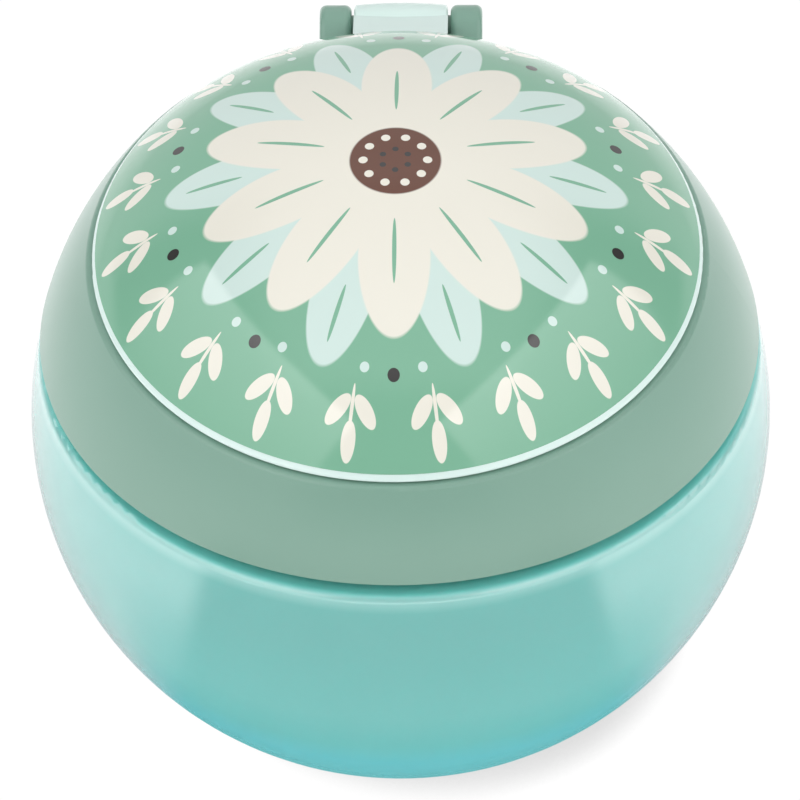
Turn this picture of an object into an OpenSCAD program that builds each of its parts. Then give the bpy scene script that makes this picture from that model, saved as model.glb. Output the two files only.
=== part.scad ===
// Toddler snack cup: a ball-shaped bowl with a screw collar, a ring of soft flaps that a small
// hand pushes through, and a domed lid on a hinge. It stands on z = 0, its front is -Y and its
// hinge is at +Y. The lid, its seat and its hinge lean forward together by lid_tilt.

/* [Bowl] */
// Radius of the bowl at its widest
bowl_r = 54; // [52:0.5:56]
// Height of the bowl's widest line above the table
waist_z = 39.5; // [38:0.5:41]
// Height of the shoulder, where the bowl turns in to its neck, above the widest line
shoulder_h = 14; // [13:0.5:14.5]
// Wall of the bowl
bowl_wall = 2; // [1.6:0.1:2.4]
// Height of the bowl's floor above the table
floor_z = 2.8; // [2.4:0.2:4]
// Rounding of the foot
foot_round = 2.5; // [1:0.5:4]
// Rounding of the shoulder
shoulder_round = 1.2; // [0.8:0.1:1.6]
// Rounding inside, between the floor and the wall
floor_round = 8; // [4:1:12]
// Rounding inside, under the shoulder
ceiling_round = 4; // [2:0.5:5]
// Width of the foot's rim, round the hollow under it
foot_rim_w = 6.8; // [5:0.2:12]
// Depth of the hollow under the foot
foot_hollow_h = 0.8; // [0.4:0.1:1.2]

/* [Neck] */
// Width of the shoulder, from the bowl's radius in to the neck at the root of its screw thread
shoulder_w = 8.4; // [8:0.1:9.5]
// Wall of the neck
neck_wall = 1.8; // [1.4:0.1:2.2]
// Height of the neck above the shoulder
neck_h = 8.5; // [7.5:0.5:9]

/* [Collar] */
// How much smaller than the bowl the ball is that the collar's outside is cut from
collar_inset = 0.4; // [0:0.1:1]
// Height of that ball's centre above the bowl's widest line
collar_rise = 2.9; // [2.4:0.1:3.4]
// Gap between the shoulder and the collar's lower edge
seam_gap = 2; // [1.5:0.25:3]
// Bevel of the collar's lower edge
seam_bevel = 0.5; // [0.2:0.1:0.8]
// Room between the neck and the collar, which the screw thread fills
thread_room = 1.4; // [1:0.1:1.6]
// Wall of the collar's outer shell, outside the groove under it
shell_wall = 2; // [1.6:0.1:2.4]
// Wall of the inner skirt, which carries the screw thread
skirt_wall = 1.5; // [1.2:0.1:1.8]
// Depth of the groove between them
groove_h = 3.5; // [2:0.25:4]
// Thickness of the deck that holds the ring of flaps
deck_h = 1.6; // [1.2:0.1:2]
// How far the deck reaches in from the neck's bore
deck_w = 7.8; // [7:0.2:9]
// Width of the lid's seat, from the collar's edge in to its round mouth
seat_w = 3.1; // [2.7:0.1:3.6]
// Rounding of the collar's upper edge, which the lid overhangs
collar_edge_round = 0.8; // [0.4:0.1:1]

/* [Flap ring] */
// Gap between the collar's bore and the ring's flange, which the neck holds against the deck
flange_gap = 1; // [0.6:0.1:1.4]
// Thickness of the flange
flange_h = 1.2; // [1:0.1:1.5]
// Width of the lip that snaps over the deck
lip_w = 1.2; // [0.8:0.1:1.6]
// Thickness of that lip
lip_h = 1; // [0.8:0.1:1.2]
// Wall of the ring inside the deck's hole
ring_wall = 2.2; // [1.8:0.1:2.6]
// Thickness of the ring's top plate, which the flaps hang from
plate_h = 1.4; // [1.3:0.1:1.8]
// Gap between the ring and what it seats on
seat_gap = 0.1; // [0.05:0.05:0.2]

/* [Flaps] */
// Thickness of a flap
flap_h = 1.2; // [0.9:0.1:1.4]
// Width of the slits between the flaps
slit_w = 0.8; // [0.7:0.05:1.2]
// Gap between a flap's root and the ring
root_gap = 0.25; // [0.2:0.05:0.4]
// Radius of the small hole where the flaps' tips meet
tip_hole_r = 1.5; // [1:0.25:3]

/* [Lid] */
// Forward tilt of the lid and of its seat on the collar
lid_tilt = 4.7; // [3.5:0.1:5.2]
// Distance of the lid's seat from the centre of the collar's ball
seat_h = 30.5; // [30.3:0.1:31]
// How far the lid's rim lies inside the collar's edge
rim_inset = 0.3; // [0:0.05:0.6]
// Height of the dome above the seat
dome_h = 19.1; // [18:0.1:20.5]
// Radius of the dome's shoulder, which runs down to the rim
dome_shoulder_r = 41.5; // [38:0.5:44]
// How far up the dome's face looks at its rim, in degrees
rim_turn = 37.2; // [35:0.2:40]
// Wall of the lid
lid_wall = 2; // [1.6:0.1:2.4]
// Gap between the closed lid and the collar
lid_gap = 0.3; // [0.2:0.05:0.5]
// Rounding of the lid's rim
rim_round = 0.4; // [0.2:0.1:0.6]
// Gap between the mouth and the plug ring, which centres the lid in it
plug_gap = 1.2; // [1:0.1:1.6]
// Wall of the plug ring
plug_wall = 1.6; // [1.2:0.1:2]
// Depth of the plug ring below the seat
plug_h = 2.2; // [1.6:0.1:2.4]
// Half the angle that the snap lug spans at the front
snap_half_angle = 10; // [6:1:16]
// Height of the snap lug
snap_h = 0.8; // [0.6:0.1:1]
// Radial room between the snap lug and the mouth
snap_room = 0.45; // [0.3:0.05:0.6]
// Radial gap between the snap lug and the catch that it clips under
snap_gap = 0.1; // [0.1:0.05:0.2]
// Thickness of the catch
catch_h = 0.7; // [0.5:0.1:0.9]

/* [Hinge] */
// Distance of the hinge axis behind the lid's rim
hinge_back = 5.3; // [5.1:0.1:5.6]
// Depth of the hinge axis below the seat
hinge_drop = 4; // [4:0.1:4.3]
// Radius of the knuckle and of the ears
knuckle_r = 3.6; // [3.2:0.1:3.6]
// Extra radius of the knuckle's crowned middle
knuckle_crown = 0.35; // [0.1:0.05:0.35]
// Width of the knuckle
knuckle_w = 13.9; // [12:0.1:16]
// Gap on each side of the knuckle
knuckle_gap = 0.4; // [0.3:0.05:0.6]
// Width of each ear
ear_w = 4.7; // [4:0.1:6]
// Length of each ear, from the hinge axis in towards the cup
ear_reach = 8; // [7:0.1:9]
// Rounding of the edges of the knuckle and of the ears
hinge_round = 1; // [0.5:0.1:1.2]
// Height above the seat at which the hinge arm leaves the dome
arm_root_h = 2.8; // [2.4:0.1:3.4]
// Radius of the stub pins inside the ears
pin_r = 2.1; // [1.6:0.1:2.2]
// Length of each stub pin inside the knuckle
pin_reach = 2.6; // [2:0.1:3.5]
// Radial clearance of the stub pins in the knuckle
pin_clearance = 0.05; // [0.02:0.01:0.1]
// Gap between the end of each stub pin and the end of its bore
pin_end_gap = 0.3; // [0.2:0.1:0.6]

/* [Hidden] */
$fn = 96;

reach = bowl_r + hinge_back + 2 * knuckle_r;  // further from the axis than any surface
bite = 0.5;                                   // how far the parts of one moulding run into each other
flap_count = 6;
flap_turn = 360 / flap_count;
first_flap_angle = -90;                       // the first flap is at the front

shoulder_z = waist_z + shoulder_h;
seam_z = shoulder_z + seam_gap;
neck_r = bowl_r - shoulder_w;
neck_bore_r = neck_r - neck_wall;
neck_top_z = shoulder_z + neck_h;
foot_hollow_r = sqrt(pow(bowl_r, 2) - pow(waist_z, 2)) - foot_rim_w;

collar_r = bowl_r - collar_inset;
collar_centre_z = waist_z + collar_rise;
collar_bore_r = neck_r + thread_room;
seat_r = sqrt(pow(collar_r, 2) - pow(seat_h, 2));
mouth_r = seat_r - seat_w;
deck_hole_r = neck_bore_r - deck_w;

flange_r = collar_bore_r - flange_gap;
flange_z = neck_top_z + seat_gap;
deck_z = flange_z + flange_h + seat_gap;
deck_top_z = deck_z + deck_h;
lip_z = deck_top_z + seat_gap;
ring_top_z = lip_z + lip_h;
ring_r = deck_hole_r - 2 * seat_gap;
ring_bore_r = ring_r - ring_wall;

// The top plate's hole is a hexagon whose corners just cut the ring's bore. Each flap's root is
// a round bar along one of its sides.
plate_hole_r = (ring_bore_r + bite) * cos(flap_turn / 2);
flap_root = plate_hole_r - root_gap - flap_h / 2;
flap_axis_z = ring_top_z - plate_h / 2;

// The dome's outline is two arcs that meet smoothly. The shoulder's arc ends at the rim, facing
// as rim_turn says, and the crown's radius is the one that carries it on to the top.
rim_r = seat_r - rim_inset;
shoulder_at = [rim_r, lid_gap] - dome_shoulder_r * [cos(rim_turn), sin(rim_turn)];
crown_above = dome_h - shoulder_at[1] - dome_shoulder_r;
crown_r = dome_shoulder_r + crown_above / 2 + pow(shoulder_at[0], 2) / (2 * crown_above);
crown_at = [0, dome_h - crown_r];

plug_r = mouth_r - plug_gap;
hinge_at = [rim_r + hinge_back, -hinge_drop];

function dome_r_at(h) = shoulder_at[0] + sqrt(pow(dome_shoulder_r, 2) - pow(h - shoulder_at[1], 2));

// Rounds the edge where an arc about c meets the level z, which lies above or below the arc's
// material as up is 1 or -1. It is subtracted from an outline.
module edge_round(c, r, z, f, up) {
    level = z - up * f;
    at = [c[0] + sqrt(pow(r - f, 2) - pow(level - c[1], 2)), level];
    out = (at - c) / norm(at - c);
    difference() {
        polygon([at, at + [0, up * 2 * f], at + [4 * f, up * 2 * f], at + 3 * f * out]);
        translate(at) circle(r = f);
    }
}

// Half outline of a ball about c, cut off at two levels with rounded edges
module ball_slice(c, r, z_low, z_high, round_low, round_high) {
    difference() {
        intersection() {
            translate(c) circle(r = r);
            translate([0, z_low]) square([reach, z_high - z_low]);
        }
        edge_round(c, r, z_low, round_low, -1);
        edge_round(c, r, z_high, round_high, 1);
    }
}

// Half outline of the dome, drawn in by inset, from the level z up
module dome_outline(inset, z) {
    to_shoulder = (shoulder_at - crown_at) / norm(shoulder_at - crown_at);
    intersection() {
        union() {
            intersection() {
                translate(crown_at) circle(r = crown_r - inset);
                polygon([crown_at, crown_at + 2 * crown_r * to_shoulder, [0, 2 * crown_r]]);
            }
            translate(shoulder_at) circle(r = dome_shoulder_r - inset);
        }
        translate([0, z]) square([reach, 2 * reach]);
    }
}

// Places what is drawn about the centre of the lid's seat
module on_seat() {
    translate([0, 0, collar_centre_z]) rotate([lid_tilt, 0, 0]) translate([0, 0, seat_h]) children();
}

// Turns a side view of the hinge, drawn as (y, z), into a block from x1 to x2
module side_block(x1, x2) {
    translate([x1, 0, 0]) rotate([90, 0, 90]) linear_extrude(height = x2 - x1) children();
}

// A rod along X on the hinge axis
module hinge_rod(r, x1, x2) {
    translate([x1, hinge_at[0], hinge_at[1]]) rotate([0, 90, 0]) cylinder(r = r, h = x2 - x1);
}

// A rectangle about the centre with round corners
module rounded_box(w, h, r) {
    square([w - 2 * r, h], center = true);
    square([w, h - 2 * r], center = true);
    for (x = [-1, 1], y = [-1, 1]) translate([x * (w / 2 - r), y * (h / 2 - r)]) circle(r = r);
}

// The part of a ring's half outline that spans an angle on each side of the front
module front_arc(half_angle) {
    rotate([0, 0, -90 - half_angle]) rotate_extrude(angle = 2 * half_angle) children();
}

// ---- Cup: a translucent bowl with a plain foot and a neck for the collar

module cup() {
    waist = [0, waist_z];
    color("#86c6c2") rotate_extrude() difference() {
        union() {
            ball_slice(waist, bowl_r, 0, shoulder_z, foot_round, shoulder_round);
            translate([0, waist_z]) square([neck_r, neck_top_z - waist_z]);
        }
        ball_slice(waist, bowl_r - bowl_wall, floor_z, shoulder_z - bowl_wall,
                   floor_round, ceiling_round);
        translate([0, waist_z]) square([neck_bore_r, reach]);
        translate([0, -1]) square([foot_hollow_r, 1 + foot_hollow_h]);
    }
}

// ---- Screw collar: an opaque ring with the deck, the lid's seat and the hinge ears

// A bar with rounded edges and a round end, whose middle line runs from the hinge axis towards
// the centre of the collar's ball
module ear() {
    inwards = atan2(-seat_h - hinge_at[1], -hinge_at[0]);
    translate([0, hinge_at[0], hinge_at[1]]) rotate([inwards, 0, 0]) {
        rotate([0, 90, 0]) rotate_extrude() intersection() {
            rounded_box(2 * knuckle_r, ear_w, hinge_round);
            translate([0, -ear_w]) square([knuckle_r, 2 * ear_w]);
        }
        rotate([-90, 0, 0]) linear_extrude(height = ear_reach)
            rounded_box(ear_w, 2 * knuckle_r, hinge_round);
    }
}

module ears() {
    inner_x = knuckle_w / 2 + knuckle_gap;
    for (side = [0, 1]) mirror([side, 0, 0]) {
        translate([inner_x + ear_w / 2, 0, 0]) ear();
        hinge_rod(pin_r, knuckle_w / 2 - pin_reach, inner_x + ear_w / 2);
    }
}

module collar_shell() {
    ball = [0, -seat_h];
    difference() {
        on_seat() rotate_extrude()
            ball_slice(ball, collar_r, -seat_h, 0, collar_edge_round, collar_edge_round);
        translate([-reach, -reach, seam_z - 2 * reach]) cube(2 * reach);
        rotate_extrude() seam_bevel_outline();
    }
}

module seam_bevel_outline() {
    seam_r = sqrt(pow(collar_r, 2) - pow(seam_z - collar_centre_z, 2));
    translate([seam_r - seam_bevel, seam_z])
        polygon([[0, -1], [2, -1], [2, 2 * seam_bevel + 1], [seam_bevel + 1, 2 * seam_bevel + 1],
                 [seam_bevel, seam_bevel], [0, 0]]);
}

// Half outline of the groove under the collar, between its outer shell and its inner skirt
module skirt_groove() {
    intersection() {
        translate([0, collar_centre_z]) circle(r = collar_r - shell_wall);
        translate([collar_bore_r + skirt_wall, 0]) square([reach, seam_z + groove_h]);
    }
}

module screw_collar() {
    catch_r = mouth_r - snap_room + snap_gap;
    catch_half_angle = snap_half_angle + 2;
    color("#8aae9f") {
        difference() {
            collar_shell();
            cylinder(r = collar_bore_r, h = deck_z);
            rotate_extrude() skirt_groove();
            cylinder(r = deck_hole_r, h = 2 * reach);
            intersection() {
                on_seat() cylinder(r = mouth_r, h = 2 * reach, center = true);
                translate([-reach, -reach, deck_top_z]) cube(2 * reach);
            }
            on_seat() hinge_rod(knuckle_r + knuckle_crown + lid_gap,
                                -knuckle_w / 2 - knuckle_gap, knuckle_w / 2 + knuckle_gap);
        }
        difference() {
            on_seat() ears();
            on_seat() cylinder(r = mouth_r + bite, h = 2 * reach, center = true);
        }
        on_seat() front_arc(catch_half_angle) translate([catch_r, -plug_h + snap_h + 2 * snap_gap])
            square([mouth_r + bite - catch_r, catch_h]);
    }
}

// ---- Flap ring: the soft moulding's rim, held under and over the deck

module flap_ring() {
    color("#dff1ed") difference() {
        rotate_extrude() {
            translate([ring_bore_r, flange_z]) square([flange_r - ring_bore_r, flange_h]);
            translate([ring_bore_r, flange_z]) square([ring_wall, ring_top_z - flange_z]);
            translate([0, ring_top_z - plate_h]) square([ring_bore_r + bite, plate_h]);
            translate([ring_bore_r, lip_z]) square([ring_wall + lip_w, lip_h]);
        }
        translate([0, 0, ring_top_z - plate_h]) rotate([0, 0, first_flap_angle + flap_turn / 2])
            cylinder(r = plate_hole_r / cos(flap_turn / 2), h = reach, $fn = flap_count);
    }
}

// ---- Flaps: six tongues of the same soft moulding, each bending at a straight root

module flap(number) {
    tip = flap_root - tip_hole_r;
    half = (flap_root - slit_w) * tan(flap_turn / 2);
    narrow = (tip_hole_r - slit_w) * tan(flap_turn / 2);
    rotate([0, 0, first_flap_angle + flap_turn * (number - 1)])
        translate([flap_root, 0, flap_axis_z]) {
            rotate([90, 0, 0]) cylinder(r = flap_h / 2, h = 2 * (half - bite), center = true);
            translate([0, 0, -flap_h / 2]) linear_extrude(height = flap_h)
                polygon([[0, -half], [0, half], [-tip, narrow], [-tip, -narrow]]);
        }
}

// ---- Lid: the dome with its plug ring, snap lug, hinge arm and knuckle

// Side view of the arm, which runs from the dome's rim to the top of the knuckle
module arm_side() {
    lip_angle = 130;
    top_angle = 100;
    polygon([
        [rim_r - lid_wall, lid_gap],
        [dome_r_at(arm_root_h) - lid_wall / 2, arm_root_h],
        hinge_at + knuckle_r * [cos(top_angle), sin(top_angle)],
        hinge_at,
        hinge_at + knuckle_r * [cos(lip_angle), sin(lip_angle)],
        [rim_r - rim_round, lid_gap]]);
}

module knuckle() {
    bulge_r = (pow(knuckle_w / 2, 2) + pow(knuckle_crown, 2)) / (2 * knuckle_crown);
    translate([0, hinge_at[0], hinge_at[1]]) rotate([0, 90, 0]) rotate_extrude() intersection() {
        translate([knuckle_r + knuckle_crown - bulge_r, 0]) circle(r = bulge_r);
        rounded_box(2 * (knuckle_r + knuckle_crown), knuckle_w, hinge_round);
        translate([0, -knuckle_w]) square([reach, 2 * knuckle_w]);
    }
}

module lid() {
    color("#dff1ed") on_seat() difference() {
        union() {
            rotate_extrude() difference() {
                dome_outline(0, lid_gap);
                edge_round(shoulder_at, dome_shoulder_r, lid_gap, rim_round, -1);
            }
            side_block(-knuckle_w / 2, knuckle_w / 2) arm_side();
            knuckle();
            rotate_extrude() translate([plug_r - plug_wall, -plug_h])
                square([plug_wall, plug_h + lid_gap + bite]);
            front_arc(snap_half_angle) translate([plug_r - plug_wall / 2, -plug_h])
                square([mouth_r - snap_room - plug_r + plug_wall / 2, snap_h]);
        }
        rotate_extrude() intersection() {
            dome_outline(lid_wall, -reach);
            union() {
                translate([0, -reach]) square([plug_r - plug_wall, 2 * reach]);
                translate([plug_r, lid_gap - bite]) square([reach, reach]);
            }
        }
        for (side = [0, 1]) mirror([side, 0, 0])
            hinge_rod(pin_r + pin_clearance, knuckle_w / 2 - pin_reach - pin_end_gap, knuckle_w);
    }
}

cup();
screw_collar();
flap_ring();
color("#dff1ed") flap(1);  // flap_1
color("#dff1ed") flap(2);  // flap_2
color("#dff1ed") flap(3);  // flap_3
color("#dff1ed") flap(4);  // flap_4
color("#dff1ed") flap(5);  // flap_5
color("#dff1ed") flap(6);  // flap_6
lid();
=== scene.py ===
import math

import bpy
from mathutils import Matrix, Vector


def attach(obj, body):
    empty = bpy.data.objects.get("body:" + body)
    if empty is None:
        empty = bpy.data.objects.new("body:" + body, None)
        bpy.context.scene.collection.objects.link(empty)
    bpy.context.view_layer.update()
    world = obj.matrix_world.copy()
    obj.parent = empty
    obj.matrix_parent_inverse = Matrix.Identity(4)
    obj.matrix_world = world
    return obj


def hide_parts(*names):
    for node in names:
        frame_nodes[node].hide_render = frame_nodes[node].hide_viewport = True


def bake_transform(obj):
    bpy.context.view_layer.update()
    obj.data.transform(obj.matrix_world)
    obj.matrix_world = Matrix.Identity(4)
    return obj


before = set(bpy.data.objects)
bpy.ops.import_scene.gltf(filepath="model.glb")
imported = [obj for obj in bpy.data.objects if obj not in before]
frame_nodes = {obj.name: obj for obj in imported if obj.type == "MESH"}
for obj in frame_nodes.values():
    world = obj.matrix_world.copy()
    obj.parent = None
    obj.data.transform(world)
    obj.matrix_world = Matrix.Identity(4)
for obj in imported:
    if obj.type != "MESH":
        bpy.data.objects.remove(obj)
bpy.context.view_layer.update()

# ---- The photograph's view, the floor and the light
# A long lens looks down at the front of the cup by 44 degrees, on a white sweep. Soft boxes stand
# left and right of the camera, with a dark gap between them that the gloss shows, and one above.

MM = 0.001
PHOTO_PX = 800
view_elevation = math.radians(44)
view_azimuth = math.radians(1.4)        # the hinge isn't quite straight behind in the photograph
view_roll = math.radians(1.075)
view_distance = 800 * MM
view_target = Vector((0, 0, 38.55 * MM))
target_px = (400.8, 414.0)      # where the target lies in the photograph
px_per_mm = 6.818               # at the target


def direction(azimuth, elevation):
    """The unit vector from the cup to a place round it. Azimuth 0 is front, 90 degrees right."""
    return Vector((math.sin(azimuth) * math.cos(elevation),
                   -math.cos(azimuth) * math.cos(elevation), math.sin(elevation)))


towards_camera = direction(view_azimuth, view_elevation)
camera_data = bpy.data.cameras.new("photo_camera")
camera = bpy.data.objects.new("photo_camera", camera_data)
bpy.context.scene.collection.objects.link(camera)
bpy.context.scene.camera = camera
camera_data.lens = camera_data.sensor_width * px_per_mm * (view_distance / MM) / PHOTO_PX
camera_data.shift_x = -(target_px[0] - PHOTO_PX / 2) / PHOTO_PX
camera_data.shift_y = (target_px[1] - PHOTO_PX / 2) / PHOTO_PX
camera_data.clip_start = 50 * MM
camera_data.clip_end = 20
turn = towards_camera.to_track_quat("Z", "Y").to_matrix().to_4x4()
camera.matrix_world = (Matrix.Translation(view_target + view_distance * towards_camera)
                       @ turn @ Matrix.Rotation(-view_roll, 4, "Z"))
bpy.context.scene.view_settings.view_transform = "Standard"


def linear(hex_code):
    """The linear colour of an sRGB hex code, with alpha 1"""
    parts = [int(hex_code[i:i + 2], 16) / 255 for i in (1, 3, 5)]
    return [c / 12.92 if c <= 0.04045 else ((c + 0.055) / 1.055) ** 2.4 for c in parts] + [1.0]


def add_node(tree, kind, ports=None, **settings):
    """Adds a node, sets its properties, and links or sets the inputs that ports names."""
    made = tree.nodes.new(kind)
    for name, value in settings.items():
        setattr(made, name, value)
    for port, value in (ports or {}).items():
        if isinstance(value, bpy.types.NodeSocket):
            tree.links.new(value, made.inputs[port])
        else:
            made.inputs[port].default_value = value
    return made


def new_material(name):
    """An empty node material"""
    material = bpy.data.materials.new(name)
    material.use_nodes = True
    material.node_tree.nodes.clear()
    return material


# The floor is white paper, lit from all round. The camera sees it as a plain white glow, with the
# cup's soft shadow painted into it. In gloss it has a painted dark wedge in front of the cup, on
# the camera's side. Close to the cup, gloss sees a painted shade and a painted glow in the tint of
# the light that comes through the cup's wall.
floor_half = 1500 * MM
paper_white = "#f4f4f4"
paper_glow = (0.5, 0.55)        # what the paper adds of its own, to plain light and to gloss
shadow_depth = 0.35             # how much of the white the shadow takes at its darkest
shadow_free = 1.02              # just over 1, so that open paper is plain white
shadow_span = (0.1, 0.44)       # the share of open sky at the shadow's darkest and at its edge
shadow_reach = 9 * MM
shadow_sky = (-0.62, 0.42, 0.66)        # the side on which that sky is counted
shadow_samples = 16
shade_reach = (220 * MM, 300 * MM)      # the wedge fades out between the first and the second
shade_half_angle = (math.radians(45), math.radians(52))
shade_depth = 0.9
cup_reach = (40 * MM, 130 * MM)         # how far the cup's own shade and tint lie on the paper
cup_shade = 0.5
painted_glow_colour = "#6db8ba"
painted_glow_half_angle = (math.radians(48), math.radians(72))
paper = new_material("white_paper_sweep")
tree = paper.node_tree
seen = add_node(tree, "ShaderNodeLightPath")
place = add_node(tree, "ShaderNodeTexCoord")
parts = add_node(tree, "ShaderNodeSeparateXYZ", {0: place.outputs["Object"]})
away = add_node(tree, "ShaderNodeVectorMath", {0: place.outputs["Object"]}, operation="LENGTH")
ahead = add_node(tree, "ShaderNodeMath", {0: parts.outputs["Y"], 1: -1.0}, operation="MULTIPLY")
turned = add_node(tree, "ShaderNodeMath", {0: parts.outputs["X"], 1: ahead.outputs[0]},
                  operation="ARCTAN2")
turned = add_node(tree, "ShaderNodeMath", {0: turned.outputs[0]}, operation="ABSOLUTE")
near = add_node(tree, "ShaderNodeMapRange", {"Value": away.outputs["Value"],
                                             "From Min": shade_reach[0], "From Max": shade_reach[1],
                                             "To Min": shade_depth, "To Max": 0.0},
                interpolation_type="SMOOTHSTEP")
wedge = add_node(tree, "ShaderNodeMapRange", {"Value": turned.outputs[0],
                                              "From Min": shade_half_angle[0],
                                              "From Max": shade_half_angle[1],
                                              "To Min": 1.0, "To Max": 0.0},
                 interpolation_type="SMOOTHSTEP")
gloss = add_node(tree, "ShaderNodeMath", {0: seen.outputs["Is Glossy Ray"],
                                          1: seen.outputs["Is Transmission Ray"]},
                 operation="SUBTRACT", use_clamp=True)
# The dark wedge is painted shade that only gloss sees.
shade = add_node(tree, "ShaderNodeMath", {0: near.outputs[0], 1: wedge.outputs[0]},
                 operation="MULTIPLY")
shade = add_node(tree, "ShaderNodeMath", {0: shade.outputs[0], 1: gloss.outputs[0]},
                 operation="MULTIPLY")
black = add_node(tree, "ShaderNodeBsdfDiffuse", {"Color": linear("#000000")})
lit = add_node(tree, "ShaderNodeBsdfDiffuse", {"Color": linear(paper_white)})
glow = add_node(tree, "ShaderNodeMapRange", {"Value": gloss.outputs[0],
                                             "To Min": paper_glow[0], "To Max": paper_glow[1]})
glow = add_node(tree, "ShaderNodeEmission", {"Color": linear("#ffffff"),
                                             "Strength": glow.outputs[0]})
plain = add_node(tree, "ShaderNodeAddShader", {0: lit.outputs[0], 1: glow.outputs[0]})
shaded = add_node(tree, "ShaderNodeMixShader", {0: shade.outputs[0], 1: plain.outputs[0],
                                                2: black.outputs[0]})
around = add_node(tree, "ShaderNodeMapRange", {"Value": away.outputs["Value"],
                                               "From Min": cup_reach[0], "From Max": cup_reach[1],
                                               "To Min": 1.0, "To Max": 0.0},
                  interpolation_type="SMOOTHSTEP")
around = add_node(tree, "ShaderNodeMath", {0: around.outputs[0], 1: gloss.outputs[0]},
                  operation="MULTIPLY")
before = add_node(tree, "ShaderNodeMapRange", {"Value": turned.outputs[0],
                                               "From Min": painted_glow_half_angle[0],
                                               "From Max": painted_glow_half_angle[1],
                                               "To Min": 1.0, "To Max": 0.0},
                  interpolation_type="SMOOTHSTEP")
# Where gloss sees the paper near the cup, it gets a painted glow in the colour of light through the
# cup's wall.
painted_cup_glow_share = add_node(tree, "ShaderNodeMath", {0: around.outputs[0], 1: before.outputs[0]},
                   operation="MULTIPLY")
painted_cup_glow = add_node(tree, "ShaderNodeEmission", {"Color": linear(painted_glow_colour)})
# Near the cup, gloss sees the paper darkened by a painted shade.
dim = add_node(tree, "ShaderNodeMath", {0: around.outputs[0], 1: cup_shade},
               operation="MULTIPLY")
shaded = add_node(tree, "ShaderNodeMixShader", {0: dim.outputs[0], 1: shaded.outputs[0],
                                                2: black.outputs[0]})
shaded = add_node(tree, "ShaderNodeMixShader", {0: painted_cup_glow_share.outputs[0], 1: shaded.outputs[0],
                                                2: painted_cup_glow.outputs[0]})
# The camera sees the paper as a glow that is darkened into a painted shadow where little sky
# reaches it.
sky = add_node(tree, "ShaderNodeCombineXYZ", dict(zip("XYZ", shadow_sky)))
openness = add_node(tree, "ShaderNodeAmbientOcclusion", {"Distance": shadow_reach,
                                                         "Normal": sky.outputs[0]},
                    samples=shadow_samples)
white = add_node(tree, "ShaderNodeMapRange", {"Value": openness.outputs["AO"],
                                              "From Min": shadow_span[0],
                                              "From Max": shadow_span[1],
                                              "To Min": 1 - shadow_depth, "To Max": shadow_free},
                 interpolation_type="SMOOTHSTEP")
white = add_node(tree, "ShaderNodeEmission", {"Color": linear("#ffffff"),
                                              "Strength": white.outputs[0]})
both = add_node(tree, "ShaderNodeMixShader", {0: seen.outputs["Is Camera Ray"],
                                              1: shaded.outputs[0], 2: white.outputs[0]})
add_node(tree, "ShaderNodeOutputMaterial", {"Surface": both.outputs[0]})
bpy.ops.mesh.primitive_plane_add(size=2 * floor_half, location=(0, 0, 0))
floor = bpy.context.object
floor.name = "floor"
floor.data.materials.append(paper)

# The room lights the cup evenly from everywhere. The camera and clear plastic see it white, and
# gloss sees a white sweep behind the cup, the paper's white edge all round, and a dark room before.
room_light = 0.18               # strength of the even light, where 1 is white
dark_room = 0.06                # strength of the room before the cup, as gloss sees it
sweep_from = (0.42, 0.67)       # how far backwards a line points where the sweep starts and is full
horizon = (math.sin(math.radians(2)), math.sin(math.radians(9)))    # the white edge fades between
world = bpy.data.worlds.new("white_room")
bpy.context.scene.world = world
world.use_nodes = True
tree = world.node_tree
tree.nodes.clear()
seen = add_node(tree, "ShaderNodeLightPath")
place = add_node(tree, "ShaderNodeTexCoord")
parts = add_node(tree, "ShaderNodeSeparateXYZ", {0: place.outputs["Generated"]})
low = add_node(tree, "ShaderNodeMapRange", {"Value": parts.outputs["Z"], "From Min": horizon[0],
                                            "From Max": horizon[1], "To Min": 1.0,
                                            "To Max": dark_room}, interpolation_type="SMOOTHSTEP")
behind = add_node(tree, "ShaderNodeMapRange", {"Value": parts.outputs["Y"],
                                               "From Min": sweep_from[0],
                                               "From Max": sweep_from[1]},
                  interpolation_type="SMOOTHSTEP")
mirrored = add_node(tree, "ShaderNodeMath", {0: low.outputs[0], 1: behind.outputs[0]},
                    operation="MAXIMUM")
clear = add_node(tree, "ShaderNodeMath", {0: seen.outputs["Is Camera Ray"],
                                          1: seen.outputs["Is Transmission Ray"]},
                 operation="MAXIMUM")
even = add_node(tree, "ShaderNodeMapRange", {"Value": clear.outputs[0], "To Min": room_light,
                                             "To Max": 1.0})
gloss = add_node(tree, "ShaderNodeMath", {0: seen.outputs["Is Glossy Ray"], 1: clear.outputs[0]},
                 operation="SUBTRACT", use_clamp=True)
strength = add_node(tree, "ShaderNodeMix", {"Factor": gloss.outputs[0], "A": even.outputs[0],
                                            "B": mirrored.outputs[0]}, data_type="FLOAT")
air = add_node(tree, "ShaderNodeBackground", {"Color": linear("#ffffff"),
                                              "Strength": strength.outputs["Result"]})
add_node(tree, "ShaderNodeOutputWorld", {"Surface": air.outputs[0]})


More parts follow.
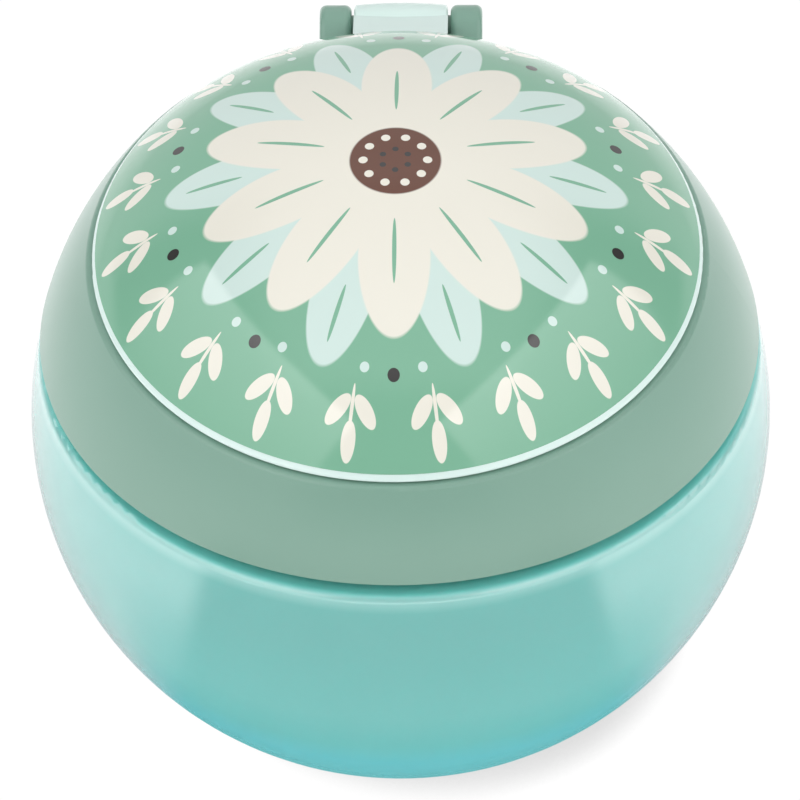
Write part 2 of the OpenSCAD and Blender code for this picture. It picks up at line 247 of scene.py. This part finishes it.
def soft_box(name, azimuth, elevation, distance, width, height, power, fade, low, high):
    """A lamp that faces the cup, in metres and watts. Its cloth glows from low at its foot to high
    at its top, and fades at each edge over a share of its size."""
    lamp = bpy.data.lights.new(name, "AREA")
    lamp.shape = "RECTANGLE"
    lamp.size = width
    lamp.size_y = height
    lamp.energy = power
    lamp.use_nodes = True
    tree = lamp.node_tree
    tree.nodes.clear()
    cloth = add_node(tree, "ShaderNodeNewGeometry")
    parts = add_node(tree, "ShaderNodeSeparateXYZ", {0: cloth.outputs["Parametric"]})
    glow = add_node(tree, "ShaderNodeMapRange", {"Value": parts.outputs["Y"], "To Min": low,
                                                 "To Max": high})
    for across in ("X", "Y"):
        off = add_node(tree, "ShaderNodeMath", {0: parts.outputs[across], 1: 0.5},
                       operation="SUBTRACT")
        off = add_node(tree, "ShaderNodeMath", {0: off.outputs[0]}, operation="ABSOLUTE")
        edge = add_node(tree, "ShaderNodeMapRange", {"Value": off.outputs[0],
                                                     "From Min": 0.5 - fade, "From Max": 0.5,
                                                     "To Min": 1.0, "To Max": 0.0},
                        interpolation_type="SMOOTHSTEP")
        glow = add_node(tree, "ShaderNodeMath", {0: glow.outputs[0], 1: edge.outputs[0]},
                        operation="MULTIPLY")
    light = add_node(tree, "ShaderNodeEmission", {"Strength": glow.outputs[0]})
    add_node(tree, "ShaderNodeOutputLight", {"Surface": light.outputs[0]})
    holder = bpy.data.objects.new(name, lamp)
    bpy.context.scene.collection.objects.link(holder)
    out = direction(azimuth, elevation)
    turn = out.to_track_quat("Z", "Y").to_matrix().to_4x4()
    holder.matrix_world = Matrix.Translation(view_target + distance * out) @ turn


# The side boxes glow most near their top. The one above fades widely, so that the dome's gloss
# shows no edge of it.
for name, azimuth in (("left", -65), ("right", 65)):
    soft_box("soft_box_" + name, azimuth=math.radians(azimuth), elevation=math.radians(30),
             distance=1.1, width=1.7, height=1.1, power=5.9, fade=0.06, low=0.2, high=2.5)
soft_box("soft_box_top", azimuth=0, elevation=math.radians(91), distance=1.2, width=2.1,
         height=2.1, power=11.5, fade=0.25, low=1.0, high=1.0)

# ---- Cup
# The bowl is one moulding of tinted, translucent polypropylene with a smooth outside. It is the
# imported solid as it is; only its neck gets its screw thread, which is part of the same moulding.


def dress(node_name, material):
    """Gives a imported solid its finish."""
    slots = frame_nodes[node_name].data.materials
    slots.clear()
    slots.append(material)


def select_only(piece):
    """Leaves one object selected and active, in object mode."""
    bpy.ops.object.select_all(action="DESELECT")
    piece.select_set(True)
    bpy.context.view_layer.objects.active = piece


def edit(piece, wanted=None):
    """Opens a piece in edit mode, with the vertices selected whose place is wanted, or all."""
    if bpy.context.mode == "EDIT_MESH":
        bpy.ops.object.mode_set(mode="OBJECT")
    select_only(piece)
    bpy.ops.object.mode_set(mode="EDIT")
    bpy.ops.mesh.select_mode(type="VERT")
    bpy.ops.mesh.select_all(action="DESELECT" if wanted else "SELECT")
    if wanted:
        bpy.ops.object.mode_set(mode="OBJECT")
        for vertex in piece.data.vertices:
            vertex.select = wanted(piece.matrix_world @ vertex.co / MM)
        bpy.ops.object.mode_set(mode="EDIT")


def close_edit():
    """Goes back to object mode with all faces turned outwards."""
    bpy.ops.mesh.select_all(action="SELECT")
    bpy.ops.mesh.normals_make_consistent(inside=False)
    bpy.ops.object.mode_set(mode="OBJECT")


def finish_with(piece, kind, **settings):
    """Adds a modifier and applies it."""
    select_only(piece)
    modifier = piece.modifiers.new(kind.lower(), kind)
    for name, value in settings.items():
        setattr(modifier, name, value)
    bpy.ops.object.modifier_apply(modifier=modifier.name)


smooth_angle = math.radians(35)     # faces that meet at less are shaded as one curve


def settle(piece, place=Matrix()):
    """Takes a piece's place into its mesh, so that its object is at the origin, and smooths it."""
    piece.data.transform(place @ piece.matrix_world)
    piece.matrix_world = Matrix()
    select_only(piece)
    bpy.ops.object.shade_smooth_by_angle(angle=smooth_angle)


# The polished mould leaves a hard, sharp gloss over a milky body that glows from inside and lets a
# little light straight through. A faint ripple, 3 mm across, is left by the flow.
cup_plastic = new_material("tinted_translucent_polypropylene_moulded")
tree = cup_plastic.node_tree
place = add_node(tree, "ShaderNodeTexCoord")
height = add_node(tree, "ShaderNodeSeparateXYZ", {0: place.outputs["Object"]})
# The colour runs with height and paints light into the plastic. It goes bluer towards the foot. A
# paler band on the shoulder's thin round edge is a painted highlight. A brighter turquoise on the
# flat shoulder and the neck is painted light where the collar shades them.
tint_top = 80                   # the height at which the run of colours ends, in mm
tint_and_painted_light = add_node(tree, "ShaderNodeMapRange", {"Value": height.outputs["Z"],
                                             "From Max": tint_top * MM})
tint_and_painted_light = add_node(tree, "ShaderNodeValToRGB", {"Fac": tint_and_painted_light.outputs[0]})
stops = tint_and_painted_light.color_ramp.elements
# The stops from 52.4 to 53.2 mm are the painted highlight on the shoulder's round edge; the stop at
# 53.5 mm paints light onto the shaded shoulder and neck.
for stop, (level, colour) in enumerate(((16.0, "#74cfd5"), (22.0, "#7ccbc6"), (30.0, "#8bd1cb"),
                                        (51.0, "#8bd1cb"), (52.4, "#a8e2dc"), (53.2, "#a8e2dc"),
                                        (53.5, "#88ede5"))):
    if stop >= len(stops):
        stops.new(1.0)
    stops[stop].position = level / tint_top
    stops[stop].color = linear(colour)
grain = add_node(tree, "ShaderNodeTexNoise", {"Vector": place.outputs["Object"],
                                              "Scale": 1 / (3 * MM), "Detail": 2.0})
ripple = add_node(tree, "ShaderNodeBump", {"Height": grain.outputs[0], "Strength": 0.02,
                                           "Distance": 0.2 * MM})
plastic = add_node(tree, "ShaderNodeBsdfPrincipled", {
    "Base Color": tint_and_painted_light.outputs["Color"], "Roughness": 0.2, "IOR": 1.5,
    "Transmission Weight": 0.15, "Subsurface Weight": 0.8, "Subsurface Radius": (1, 1, 1),
    "Subsurface Scale": 4 * MM, "Coat Weight": 1.0, "Coat IOR": 1.65, "Coat Roughness": 0.04,
    "Normal": ripple.outputs[0]})
add_node(tree, "ShaderNodeOutputMaterial", {"Surface": plastic.outputs[0]})
dress("cup", cup_plastic)

# The thread climbs 6 mm a turn: one ridge of a trapezoid section on the neck, and one in the
# collar 1.8 mm below it, so that their flanks nearly touch. Their ends run out into the wall.
thread_lead = 6.0
ridge_w = 1.6                   # at its root
ridge_crest_share = 0.5         # width of the crest, of the ridge's width
ridge_bite = 0.2                # how far the ridge's root lies in the wall
ridge_run_out = math.radians(25)
ridge_step = math.radians(3)
ridge_mesh_drop = 1.8           # how far the collar's ridge lies below the neck's
neck_r = 45.6
neck_ridge_h = 1.0
neck_ridge_z = 55.4
neck_ridge_span = math.radians(306)


def thread_ridge(name, root_r, crest_r, height, start, span):
    """A right-hand ridge whose middle is at height where its helix crosses +X, in mm. It runs from
    start on by span, and stands from root_r to crest_r."""
    bpy.ops.object.select_all(action="DESELECT")
    bpy.ops.mesh.primitive_plane_add(size=ridge_w * MM, location=(0, 0, 0))
    ridge = bpy.context.object
    ridge.name = name
    edit(ridge)
    bpy.ops.transform.rotate(value=math.pi / 2, orient_axis="X", center_override=(0, 0, 0))
    bpy.ops.transform.resize(value=(abs(crest_r - root_r) / ridge_w, 1, 1),
                             center_override=(0, 0, 0))
    outer = crest_r > root_r
    edit(ridge, lambda at: (at.x > 0) == outer)
    bpy.ops.transform.resize(value=(1, 1, ridge_crest_share), center_override=(0, 0, 0))
    edit(ridge)
    middle = (root_r + crest_r) / 2
    rise = thread_lead * start / math.tau
    bpy.ops.transform.translate(value=(middle * MM, 0, (height + rise) * MM))
    bpy.ops.mesh.delete(type="ONLY_FACE")
    bpy.ops.object.mode_set(mode="OBJECT")
    steps = round(span / ridge_step)
    finish_with(ridge, "SCREW", axis="Z", angle=span, steps=steps, render_steps=steps,
                screw_offset=thread_lead * span / math.tau * MM)
    edit(ridge)
    bpy.ops.mesh.fill_holes(sides=4)
    close_edit()
    for vertex in ridge.data.vertices:
        run = math.atan2(vertex.co.y, vertex.co.x) % math.tau
        run = min(run, max(span - run, 0.0)) / ridge_run_out
        radius = math.hypot(vertex.co.x, vertex.co.y) / MM
        share = (root_r + (radius - root_r) * min(run, 1.0)) / radius
        vertex.co.x *= share
        vertex.co.y *= share
    settle(ridge, Matrix.Rotation(start, 4, "Z"))
    return ridge


ridge = thread_ridge("neck_thread", neck_r - ridge_bite, neck_r + neck_ridge_h, neck_ridge_z,
                     0, neck_ridge_span)
ridge.data.materials.append(cup_plastic)
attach(ridge, "cup_body")

# ---- Screw collar
# One opaque moulding of sage polypropylene with a satin face, a tilted seat for the lid, and the
# two hinge ears with their stub pins.

# A lightly blasted mould gives a satin skin, in which the lamps show as wide, soft sheens. Its
# grain is really some hundredths of a millimetre, and is drawn at 0.5 mm so that it can show.
collar_plastic = new_material("sage_polypropylene_satin_moulded")
tree = collar_plastic.node_tree
place = add_node(tree, "ShaderNodeTexCoord")
cloud = add_node(tree, "ShaderNodeTexNoise", {"Vector": place.outputs["Object"],
                                              "Scale": 1 / (30 * MM), "Detail": 3.0})
colour = add_node(tree, "ShaderNodeMix", {"Factor": cloud.outputs[0], "A": linear("#7ea393"),
                                          "B": linear("#84a999")}, data_type="RGBA")
grain = add_node(tree, "ShaderNodeTexNoise", {"Vector": place.outputs["Object"],
                                              "Scale": 1 / (0.5 * MM), "Detail": 2.0})
skin = add_node(tree, "ShaderNodeBump", {"Height": grain.outputs[0], "Strength": 0.06,
                                         "Distance": 0.05 * MM})
plastic = add_node(tree, "ShaderNodeBsdfPrincipled", {
    "Base Color": colour.outputs["Result"], "Roughness": 0.28, "IOR": 1.46,
    "Coat Weight": 0.1, "Coat Roughness": 0.15, "Normal": skin.outputs[0]})
add_node(tree, "ShaderNodeOutputMaterial", {"Surface": plastic.outputs[0]})
dress("screw_collar", collar_plastic)

collar_bore_r = 47.0
collar_ridge_h = 1.1
collar_ridge_start = math.radians(168)
collar_ridge_span = math.radians(252)
ridge = thread_ridge("collar_thread", collar_bore_r + ridge_bite, collar_bore_r - collar_ridge_h,
                     neck_ridge_z - ridge_mesh_drop, collar_ridge_start, collar_ridge_span)
ridge.data.materials.append(collar_plastic)
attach(ridge, "collar_body")

# ---- Flap insert
# One soft moulding of thermoplastic rubber, snapped round the edge of the collar's deck: a rim, and
# six flaps that spring back to flat.

# Soft rubber looks dull and a little milky. Its fine grain is drawn at 0.4 mm so that it can show.
rubber = new_material("mint_thermoplastic_rubber_moulded")
tree = rubber.node_tree
place = add_node(tree, "ShaderNodeTexCoord")
grain = add_node(tree, "ShaderNodeTexNoise", {"Vector": place.outputs["Object"],
                                              "Scale": 1 / (0.4 * MM), "Detail": 2.0})
colour = add_node(tree, "ShaderNodeMix", {"Factor": grain.outputs[0], "A": linear("#cfe6e0"),
                                          "B": linear("#d8ece7")}, data_type="RGBA")
skin = add_node(tree, "ShaderNodeBump", {"Height": grain.outputs[0], "Strength": 0.15,
                                         "Distance": 0.05 * MM})
plastic = add_node(tree, "ShaderNodeBsdfPrincipled", {
    "Base Color": colour.outputs["Result"], "Roughness": 0.5, "IOR": 1.45,
    "Subsurface Weight": 0.3, "Subsurface Radius": (1, 1, 1), "Subsurface Scale": 1.5 * MM,
    "Normal": skin.outputs[0]})
add_node(tree, "ShaderNodeOutputMaterial", {"Surface": plastic.outputs[0]})

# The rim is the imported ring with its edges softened, as rubber leaves the mould.
soft_edge = 0.3
soft_edge_steps = 3
weld_gap = 0.001
flat_angle = math.radians(0.5)          # triangles that meet at less are one flat face
rim_edge_angle = math.radians(40)       # edges that are sharper than this are softened
rim = bpy.data.objects.new("insert_rim", frame_nodes["flap_ring"].data.copy())
bpy.context.scene.collection.objects.link(rim)
edit(rim)
bpy.ops.mesh.remove_doubles(threshold=weld_gap * MM)
bpy.ops.mesh.dissolve_limited(angle_limit=flat_angle)
bpy.ops.object.mode_set(mode="OBJECT")
finish_with(rim, "BEVEL", width=soft_edge * MM, segments=soft_edge_steps, limit_method="ANGLE",
            angle_limit=rim_edge_angle)
settle(rim)
rim.data.materials.clear()
rim.data.materials.append(rubber)
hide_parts("flap_ring")
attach(rim, "ring_body")

# Each flap is a tongue, cut from its neighbours by a slit, that grows out of the rim. A groove
# along its root is where the real flap bends.
flap_axis_z = 65.4
flap_h = 1.2
flap_tip = 1.5
flap_end = 30.2                 # where the flap ends inside the rim
slit_w = 0.8
groove = (27.3, 28.7)           # from where to where the flap bends
groove_depth = 0.3
flap_cuts = 39
flap_edge_angle = math.radians(60)
flap_count = 6
flap_pitch = 60                 # degrees from one flap to the next
first_flap = -90                # degrees: flap 1 lies at the front
half_pitch = math.radians(flap_pitch / 2)
wide = (flap_end - slit_w) * math.tan(half_pitch)       # half the width at the flap's end
narrow = (flap_tip - slit_w) * math.tan(half_pitch)     # and at its tip
bpy.ops.object.select_all(action="DESELECT")
bpy.ops.mesh.primitive_plane_add(size=2 * MM, location=(0, 0, 0))
tongue = bpy.context.object
edit(tongue)
bpy.ops.transform.resize(value=((flap_end - flap_tip) / 2, wide, 1), center_override=(0, 0, 0))
edit(tongue, lambda at: at.x < 0)
bpy.ops.transform.resize(value=(1, narrow / wide, 1), center_override=(0, 0, 0))
edit(tongue)
bpy.ops.mesh.subdivide(number_cuts=flap_cuts)
bpy.ops.transform.translate(value=((flap_end + flap_tip) / 2 * MM, 0, flap_axis_z * MM))
close_edit()
finish_with(tongue, "SOLIDIFY", thickness=flap_h * MM, offset=0.0)
edit(tongue, lambda at: groove[0] < at.x < groove[1] and at.z > flap_axis_z)
bpy.ops.transform.translate(value=(0, 0, -groove_depth * MM))
close_edit()
finish_with(tongue, "BEVEL", width=soft_edge * MM, segments=soft_edge_steps,
            limit_method="ANGLE", angle_limit=flap_edge_angle)
for number in range(1, flap_count + 1):
    flap = bpy.data.objects.new(f"insert_flap_{number}", tongue.data.copy())
    bpy.context.scene.collection.objects.link(flap)
    heading = math.radians(first_flap + flap_pitch * (number - 1))
    settle(flap, Matrix.Rotation(heading, 4, "Z") @ tongue.matrix_world)
    flap.data.materials.append(rubber)
    level = Vector((0, 0, flap_axis_z * MM))
    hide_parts(f"flap_{number}")
    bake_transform(flap)
bpy.data.objects.remove(tongue)

# ---- Lid
# One glossy moulding of mint polypropylene: the dome, its plug ring, the snap lug and the knuckle,
# which snaps onto the collar's stub pins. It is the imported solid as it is.

# A polished mould gives a clear gloss. A little light sinks into the pale plastic, which softens
# what shows of its rim and knuckle.
lid_plastic = new_material("mint_polypropylene_gloss_moulded")
tree = lid_plastic.node_tree
place = add_node(tree, "ShaderNodeTexCoord")
cloud = add_node(tree, "ShaderNodeTexNoise", {"Vector": place.outputs["Object"],
                                              "Scale": 1 / (20 * MM), "Detail": 2.0})
colour = add_node(tree, "ShaderNodeMix", {"Factor": cloud.outputs[0], "A": linear("#dcf2ec"),
                                          "B": linear("#e2f5f1")}, data_type="RGBA")
plastic = add_node(tree, "ShaderNodeBsdfPrincipled", {
    "Base Color": colour.outputs["Result"], "Roughness": 0.16, "IOR": 1.54,
    "Subsurface Weight": 0.15, "Subsurface Radius": (1, 1, 1), "Subsurface Scale": 1 * MM})
add_node(tree, "ShaderNodeOutputMaterial", {"Surface": plastic.outputs[0]})
dress("lid", lid_plastic)

# ---- Printed film
# A film about a tenth of a millimetre thick, printed on its back and moulded into the dome's
# face. It stops just above the rim, which shows as a pale line.

lid_tilt = math.radians(4.7)    # the lid's seat leans forward by this about the ball's centre
ball_centre_z = 42.4
seat_height = 30.5              # above that centre
to_seat = (Matrix.Translation((0, 0, ball_centre_z * MM)) @ Matrix.Rotation(lid_tilt, 4, "X")
           @ Matrix.Translation((0, 0, seat_height * MM)))

# The dome is two arcs that meet smoothly, a shoulder and a crown, given by radius and height above
# the seat, as in the solid.
dome_height = 19.1
shoulder_r = 41.5
rim_r = 43.776
rim_gap = 0.3
rim_turn = math.radians(37.2)
shoulder_at = (Vector((rim_r, rim_gap))
               - shoulder_r * Vector((math.cos(rim_turn), math.sin(rim_turn))))
crown_above = dome_height - shoulder_at.y - shoulder_r
crown_r = shoulder_r + crown_above / 2 + shoulder_at.x ** 2 / (2 * crown_above)
crown_at = Vector((0, dome_height - crown_r))
film_low = 1.5                   # height of the film's edge above the seat
film_proud = 0.04
film_h = 0.1
film_steps = 24
film_segments = 192

meet = (shoulder_at - crown_at).normalized()
meet_angle = math.atan2(meet.y, meet.x)
low_angle = math.asin((film_low - shoulder_at.y) / shoulder_r)
profile = []
for centre, arc_r, first, last in ((shoulder_at, shoulder_r, low_angle, meet_angle),
                                   (crown_at, crown_r, meet_angle, math.pi / 2)):
    for step in range(1 if profile else 0, film_steps + 1):
        angle = first + (last - first) * (step / film_steps)
        profile.append(centre
                       + (arc_r + film_proud) * Vector((math.cos(angle), math.sin(angle))))
bpy.ops.object.select_all(action="DESELECT")
bpy.ops.mesh.primitive_circle_add(vertices=film_segments, radius=profile[0].x * MM,
                                  location=(0, 0, profile[0].y * MM))
film = bpy.context.object
film.name = "dome_print"
edit(film)
for low, high in zip(profile, profile[1:-1]):
    bpy.ops.mesh.extrude_region()
    bpy.ops.transform.translate(value=(0, 0, (high.y - low.y) * MM))
    share = high.x / low.x
    bpy.ops.transform.resize(value=(share, share, 1), center_override=(0, 0, 0))
bpy.ops.mesh.extrude_region()
bpy.ops.transform.translate(value=(0, 0, (profile[-1].y - profile[-2].y) * MM))
bpy.ops.mesh.merge(type="CENTER")
close_edit()
finish_with(film, "SOLIDIFY", thickness=film_h * MM, offset=-1.0)
settle(film, to_seat)
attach(film, "lid_body")

# The film's flat plastic face is the glossiest of all: the lamps and the sweep lie on the dull inks
# as clear white shapes. The print is laid out in mm, as seen straight down onto the lid's seat.
print_film = new_material("printed_film_in_mould_gloss")
tree = print_film.node_tree
place = add_node(tree, "ShaderNodeTexCoord")
plan = add_node(tree, "ShaderNodeMapping", {
    "Vector": place.outputs["Object"], "Location": to_seat.to_translation(),
    "Rotation": (lid_tilt, 0, 0), "Scale": (MM, MM, MM)}, vector_type="TEXTURE")
flat = add_node(tree, "ShaderNodeVectorMath", {0: plan.outputs[0], 1: (1, 1, 0)},
                operation="MULTIPLY")
radius = add_node(tree, "ShaderNodeVectorMath", {0: flat.outputs[0]}, operation="LENGTH")
parts = add_node(tree, "ShaderNodeSeparateXYZ", {0: flat.outputs[0]})
angle = add_node(tree, "ShaderNodeMath", {0: parts.outputs["Y"], 1: parts.outputs["X"]},
                 operation="ARCTAN2")


def spokes(count, offset):
    """The place seen from the nearest of count spokes: X out along the spoke, Y across it, in mm"""
    turns = add_node(tree, "ShaderNodeMath", {0: angle.outputs[0], 1: count / math.tau, 2: offset},
                     operation="MULTIPLY_ADD")
    part = add_node(tree, "ShaderNodeMath", {0: turns.outputs[0]}, operation="FRACT")
    aside = add_node(tree, "ShaderNodeMath", {0: part.outputs[0], 1: math.tau / count,
                                              2: -math.pi / count}, operation="MULTIPLY_ADD")
    out = add_node(tree, "ShaderNodeMath", {0: aside.outputs[0]}, operation="COSINE")
    across = add_node(tree, "ShaderNodeMath", {0: aside.outputs[0]}, operation="SINE")
    unit = add_node(tree, "ShaderNodeCombineXYZ", {"X": out.outputs[0], "Y": across.outputs[0]})
    return add_node(tree, "ShaderNodeVectorMath", {0: unit.outputs[0],
                                                   "Scale": radius.outputs["Value"]},
                    operation="SCALE").outputs[0]


print_blur = 0.02               # half the softness of an oval's edge, as a share of the oval


def ovals(count, offset, distance, length, width, lean=0.0, aside=0.0):
    """1 inside a ring of ovals, and 0 outside. Offset is in steps between ovals, sizes in mm."""
    near = add_node(tree, "ShaderNodeMapping", {
        "Vector": spokes(count, offset), "Location": (distance, aside, 0),
        "Rotation": (0, 0, math.radians(lean)), "Scale": (length / 2, width / 2, 1)},
        vector_type="TEXTURE")
    far = add_node(tree, "ShaderNodeVectorMath", {0: near.outputs[0]}, operation="LENGTH")
    return add_node(tree, "ShaderNodeMapRange", {"Value": far.outputs["Value"],
                                                 "From Min": 1 + print_blur,
                                                 "From Max": 1 - print_blur}).outputs[0]


green = "#80b79b"
mint = "#d3e8e2"
cream = "#efece0"
brown = "#6a4436"
charcoal = "#3c3a3a"

# A flower with two rings of ten petals, each with a vein, round a brown middle with dots. Round it
# lie a ring of dark dots with pale ones between, and twenty sprigs of a stem and three leaves.
ink = add_node(tree, "ShaderNodeRGB")
ink.outputs[0].default_value = linear(green)
ink = ink.outputs[0]
for colour, mask in (
        (mint, ovals(10, 0.5, 21, 23, 9)),
        (green, ovals(10, 0.5, 25.5, 8, 0.6)),
        (cream, ovals(10, 0, 16.5, 23, 10)),
        (green, ovals(10, 0, 15.5, 10, 0.6)),
        (brown, ovals(1, 0, 0, 12.8, 12.8)),
        (cream, ovals(10, 0.5, 4.5, 1.3, 1.3)),
        (charcoal, ovals(6, 0, 2.0, 0.9, 0.9)),
        (cream, ovals(20, 0, 36.6, 5.6, 0.5)),
        (cream, ovals(20, 0, 36.8, 4.4, 2.0, 42, 1.9)),
        (cream, ovals(20, 0, 36.8, 4.4, 2.0, -42, -1.9)),
        (cream, ovals(20, 0, 40.0, 4.2, 2.0)),
        (charcoal, ovals(10, 0, 32.6, 1.7, 1.7)),
        (mint, ovals(10, 0.2, 31.8, 1.3, 1.3)),
        (mint, ovals(10, 0.8, 31.8, 1.3, 1.3))):
    ink = add_node(tree, "ShaderNodeMix", {"Factor": mask, "A": ink, "B": linear(colour)},
                   data_type="RGBA").outputs["Result"]
plastic = add_node(tree, "ShaderNodeBsdfPrincipled", {
    "Base Color": ink, "Roughness": 0.07, "IOR": 1.52})
add_node(tree, "ShaderNodeOutputMaterial", {"Surface": plastic.outputs[0]})
film.data.materials.append(print_film)
